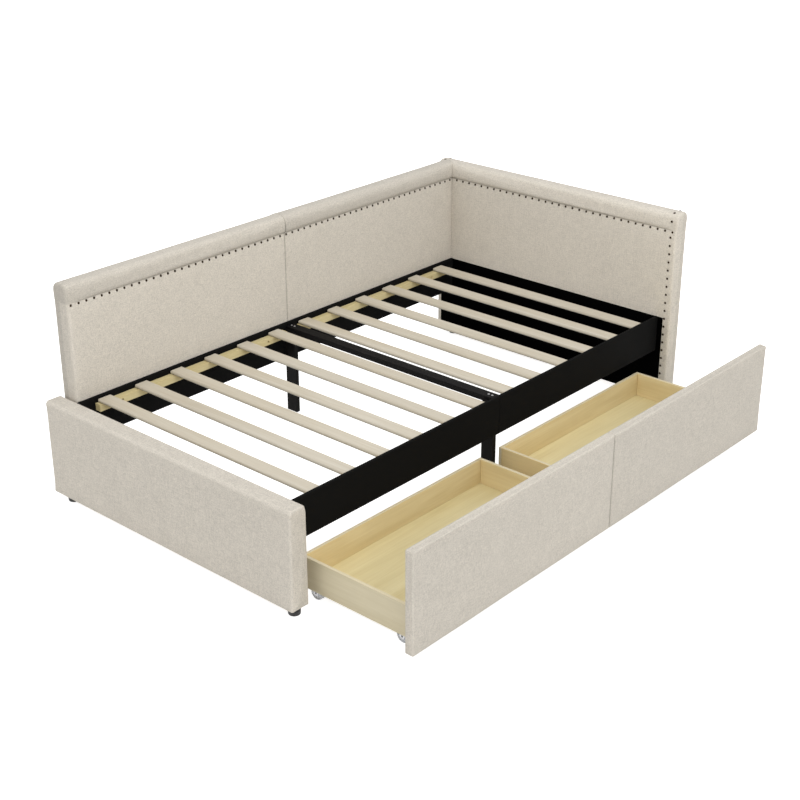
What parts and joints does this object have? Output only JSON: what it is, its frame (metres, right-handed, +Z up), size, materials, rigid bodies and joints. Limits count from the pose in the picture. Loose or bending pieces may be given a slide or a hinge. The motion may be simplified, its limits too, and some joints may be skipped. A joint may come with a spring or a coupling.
{
  "type": "storage daybed",
  "caption": "Upholstered daybed with a low footboard, tall back and side panels, a slatted mattress base and rolling storage drawers that draw out of its open front.",
  "frame": {"origin": "on the floor, under the middle of the box that bounds the whole daybed with its drawers drawn out as at rest", "axes": "+X along the length, from the footboard to the tall side panel; +Y from the open front with the drawers to the back panel; +Z up"},
  "size_m": [2.059, 1.531, 0.747],
  "materials": {
    "fabric": "oatmeal linen weave, flecked",
    "board": "bare board inside the upholstery",
    "black_rail": "black, low sheen",
    "black_steel": "black powder coat",
    "lining": "thin black lining",
    "foot": "black",
    "slat": "pale planed wood",
    "ledge": "pine, light grain",
    "plywood": "pale birch plywood, sanded",
    "wheel": "clear, slightly grey",
    "caster_steel": "zinc plated"
  },
  "bodies": {
    "bed_frame": {"footboard_cover": "fabric", "footboard_board": "board", "footboard_foot_front": "foot", "footboard_foot_back": "foot", "side_panel_cover": "fabric", "side_panel_board": "board", "side_panel_lining": "lining", "side_panel_foot_front": "foot", "side_panel_foot_back": "foot", "back_panel_left_cover": "fabric", "back_panel_left_board": "board", "back_panel_right_cover": "fabric", "back_panel_right_board": "board", "front_rail_left": "black_rail", "front_rail_right": "black_rail", "back_rail_left": "black_rail", "back_rail_right": "black_rail", "ledge_front_left": "ledge", "ledge_front_right": "ledge", "ledge_back_left": "ledge", "ledge_back_right": "ledge", "center_support": "black_steel", "slat_01": "slat", "slat_02": "slat", "slat_03": "slat", "slat_04": "slat", "slat_05": "slat", "slat_06": "slat", "slat_07": "slat", "slat_08": "slat", "slat_09": "slat", "slat_10": "slat", "slat_11": "slat", "slat_12": "slat"},
    "drawer_left": {"drawer_left_front": "fabric", "drawer_left_wall_left": "plywood", "drawer_left_wall_right": "plywood", "drawer_left_wall_back": "plywood", "drawer_left_bottom": "plywood", "drawer_left_caster_front_left": "caster_steel", "drawer_left_caster_front_right": "caster_steel", "drawer_left_caster_back_left": "caster_steel", "drawer_left_caster_back_right": "caster_steel"},
    "drawer_right": {"drawer_right_front": "fabric", "drawer_right_wall_left": "plywood", "drawer_right_wall_right": "plywood", "drawer_right_wall_back": "plywood", "drawer_right_bottom": "plywood", "drawer_right_caster_front_left": "caster_steel", "drawer_right_caster_front_right": "caster_steel", "drawer_right_caster_back_left": "caster_steel", "drawer_right_caster_back_right": "caster_steel"},
    "drawer_left_wheel_front_left": {"drawer_left_wheel_front_left": "wheel"},
    "drawer_left_wheel_front_right": {"drawer_left_wheel_front_right": "wheel"},
    "drawer_left_wheel_back_left": {"drawer_left_wheel_back_left": "wheel"},
    "drawer_left_wheel_back_right": {"drawer_left_wheel_back_right": "wheel"},
    "drawer_right_wheel_front_left": {"drawer_right_wheel_front_left": "wheel"},
    "drawer_right_wheel_front_right": {"drawer_right_wheel_front_right": "wheel"},
    "drawer_right_wheel_back_left": {"drawer_right_wheel_back_left": "wheel"},
    "drawer_right_wheel_back_right": {"drawer_right_wheel_back_right": "wheel"}
  },
  "joints": [
    {"name": "drawer_left_slide", "type": "slide", "parent": "bed_frame", "child": "drawer_left", "axis": [0, -1, 0], "range_m": [-0.418, 0.027]},
    {"name": "drawer_right_slide", "type": "slide", "parent": "bed_frame", "child": "drawer_right", "axis": [0, -1, 0], "range_m": [-0.418, 0.027]},
    {"name": "drawer_left_wheel_front_left_roll", "type": "hinge", "parent": "drawer_left", "child": "drawer_left_wheel_front_left", "pos_m": [-0.8912, -0.6775, 0.023], "axis": [1, 0, 0], "continuous": true},
    {"name": "drawer_left_wheel_front_right_roll", "type": "hinge", "parent": "drawer_left", "child": "drawer_left_wheel_front_right", "pos_m": [-0.0968, -0.6775, 0.023], "axis": [1, 0, 0], "continuous": true},
    {"name": "drawer_left_wheel_back_left_roll", "type": "hinge", "parent": "drawer_left", "child": "drawer_left_wheel_back_left", "pos_m": [-0.8912, -0.3375, 0.023], "axis": [1, 0, 0], "continuous": true},
    {"name": "drawer_left_wheel_back_right_roll", "type": "hinge", "parent": "drawer_left", "child": "drawer_left_wheel_back_right", "pos_m": [-0.0968, -0.3375, 0.023], "axis": [1, 0, 0], "continuous": true},
    {"name": "drawer_right_wheel_front_left_roll", "type": "hinge", "parent": "drawer_right", "child": "drawer_right_wheel_front_left", "pos_m": [0.0516, -0.6775, 0.023], "axis": [1, 0, 0], "continuous": true},
    {"name": "drawer_right_wheel_front_right_roll", "type": "hinge", "parent": "drawer_right", "child": "drawer_right_wheel_front_right", "pos_m": [0.846, -0.6775, 0.023], "axis": [1, 0, 0], "continuous": true},
    {"name": "drawer_right_wheel_back_left_roll", "type": "hinge", "parent": "drawer_right", "child": "drawer_right_wheel_back_left", "pos_m": [0.0516, -0.3375, 0.023], "axis": [1, 0, 0], "continuous": true},
    {"name": "drawer_right_wheel_back_right_roll", "type": "hinge", "parent": "drawer_right", "child": "drawer_right_wheel_back_right", "pos_m": [0.846, -0.3375, 0.023], "axis": [1, 0, 0], "continuous": true}
  ]
}
